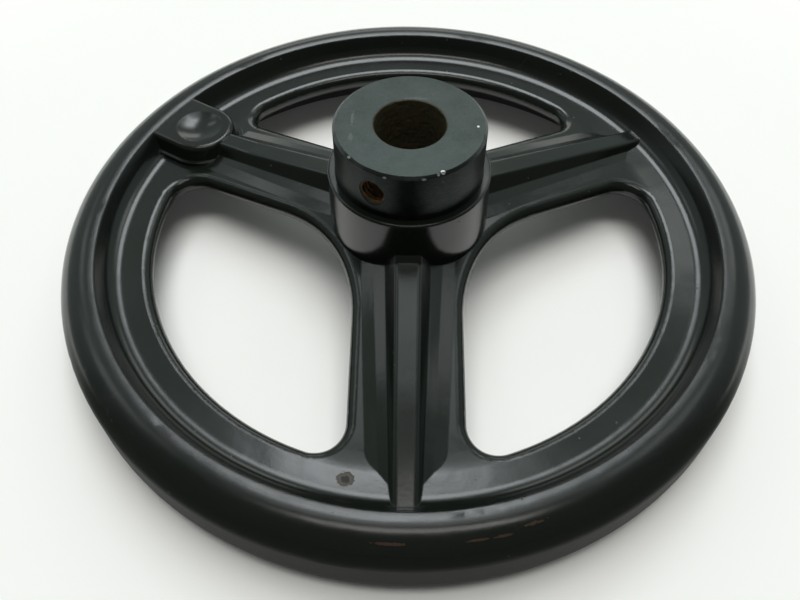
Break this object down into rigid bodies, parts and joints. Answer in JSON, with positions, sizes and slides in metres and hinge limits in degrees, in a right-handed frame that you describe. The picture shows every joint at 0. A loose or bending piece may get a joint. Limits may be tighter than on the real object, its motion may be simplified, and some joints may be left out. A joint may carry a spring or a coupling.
{
  "type": "machine handwheel",
  "caption": "Black moulded machine handwheel with dished ribbed spokes, a handle boss at the rim and a projecting steel hub bush with a radial set-screw hole.",
  "frame": {"origin": "on the shaft axis, in the plane of the rim's front face, which is the plane the wheel lies on", "axes": "+Z along the shaft from the wheel's front towards the end of the bush; -Y along the spoke opposite the far window, so the handle boss lies at 150 degrees from +X"},
  "size_m": [0.16, 0.16, 0.0477],
  "materials": {
    "moulded_black": "black phenolic moulding, semi-gloss as it leaves the mould, lightly scuffed",
    "bush_steel": "blackened turned steel, satin, with small bright nicks on the end's edge and rust in the bore and the tapped hole"
  },
  "bodies": {
    "root": {"wheel_body": "moulded_black", "hub_bush": "bush_steel"}
  },
  "joints": []
}
